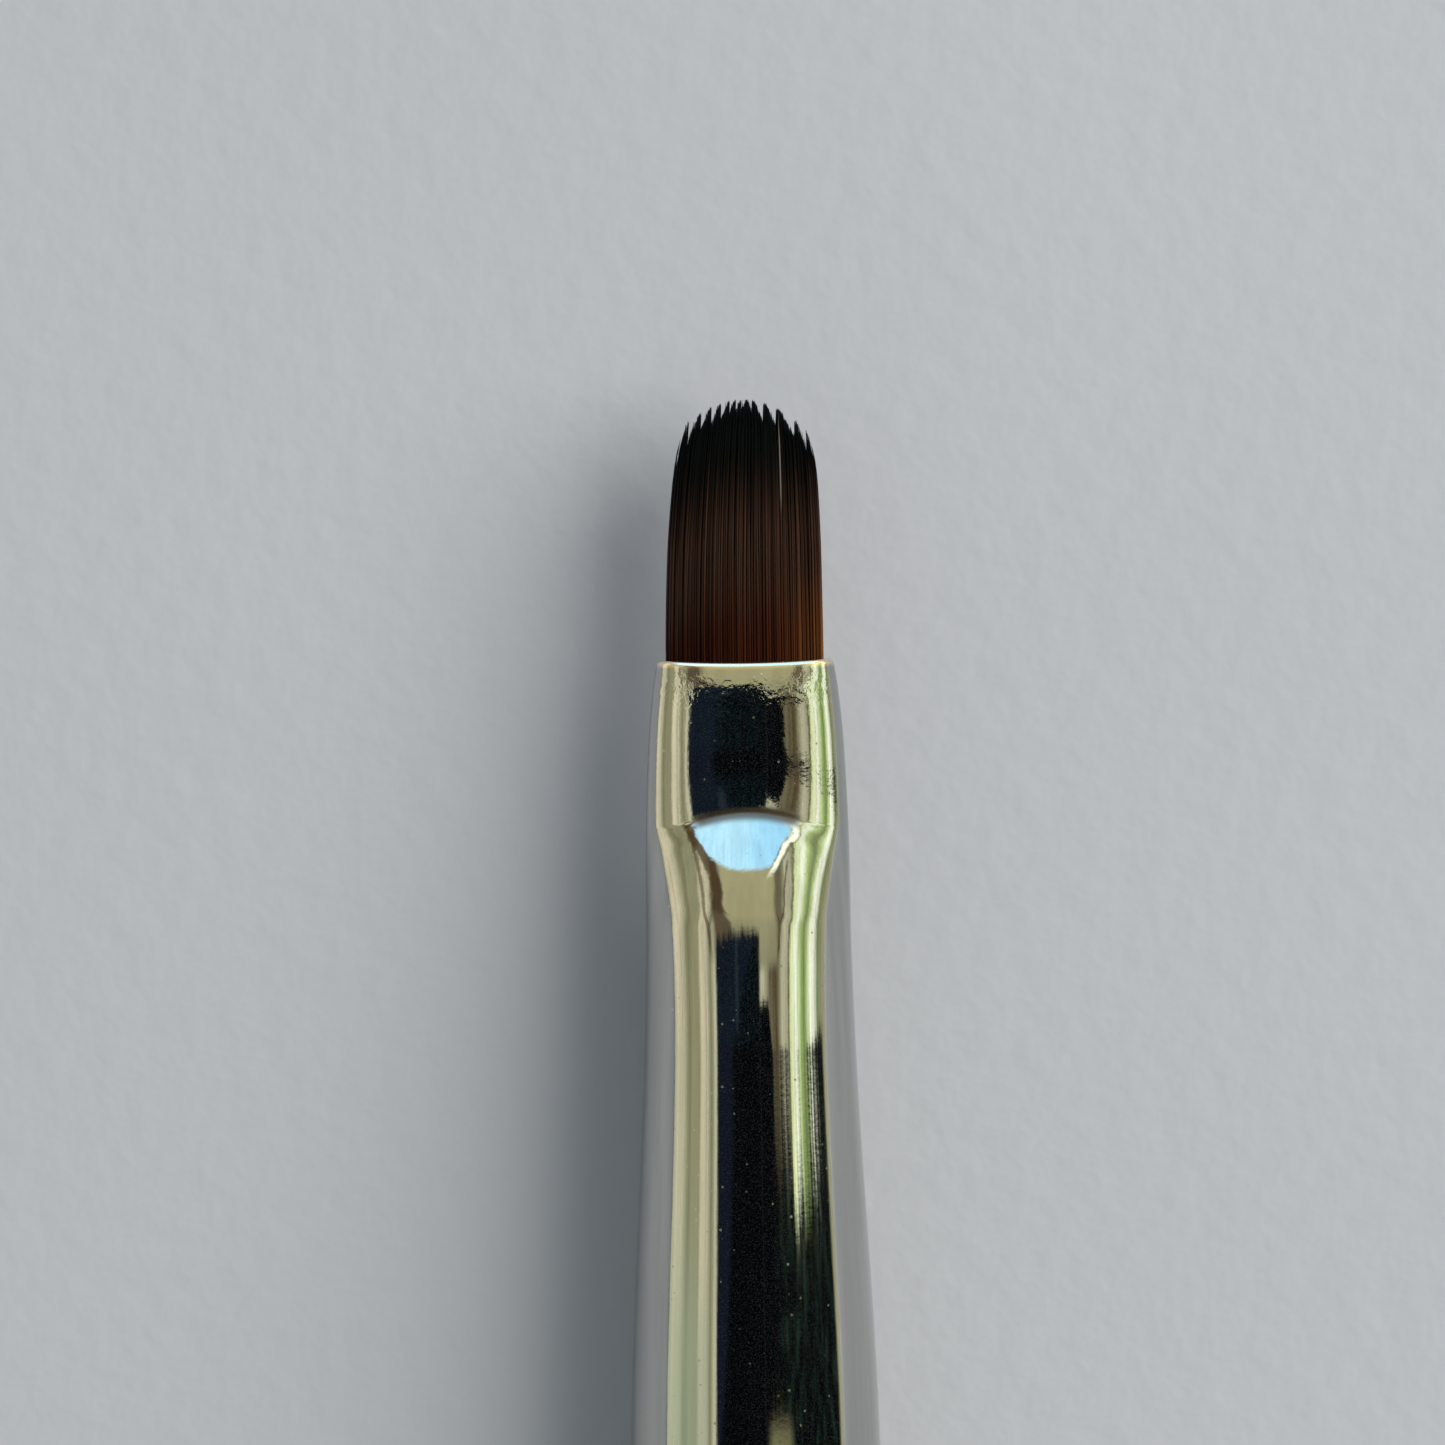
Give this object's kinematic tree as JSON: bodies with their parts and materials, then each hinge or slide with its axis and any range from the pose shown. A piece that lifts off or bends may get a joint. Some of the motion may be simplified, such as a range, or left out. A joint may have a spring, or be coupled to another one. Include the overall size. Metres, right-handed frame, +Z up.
{
  "type": "artist's brush",
  "caption": "Slim filbert detail brush: dark flat tuft with a rounded tip, bright drawn metal ferrule pressed oval at the mouth, and a turned tapering wooden handle.",
  "frame": {"origin": "on the surface that the brush lies on, under the middle of its length", "axes": "+Y along the brush from the handle's end to the hair's tip, +X across the flat face, +Z up"},
  "size_m": [0.0086, 0.184, 0.0086],
  "materials": {
    "ferrule_metal": "bright nickel plate on drawn brass, faint drawing lines",
    "handle_wood": "clear gloss lacquer over turned hardwood, the tail dipped in dark lacquer",
    "wood_glue": "cured film",
    "hair": "dark brown synthetic filament, nearly black at the tips",
    "thread": "waxed cotton",
    "resin": "cast epoxy"
  },
  "bodies": {
    "handle_body": {"ferrule": "ferrule_metal", "handle": "handle_wood", "handle_glue": "wood_glue", "hair_root": "hair", "binding_thread": "thread", "resin_plug": "resin"},
    "tuft": {"hair_lock_01": "hair", "hair_lock_02": "hair", "hair_lock_03": "hair", "hair_lock_04": "hair", "hair_lock_05": "hair", "hair_lock_06": "hair", "hair_lock_07": "hair", "hair_lock_08": "hair", "hair_lock_09": "hair", "hair_lock_10": "hair", "hair_lock_11": "hair", "hair_lock_12": "hair"}
  },
  "joints": [
    {"name": "tuft_flex", "type": "hinge", "parent": "handle_body", "child": "tuft", "pos_m": [0, 0.0853, 0.0043], "axis": [1, 0, 0], "range_deg": [-40, 40], "stiffness_Nm_per_rad": 0.0018}
  ]
}
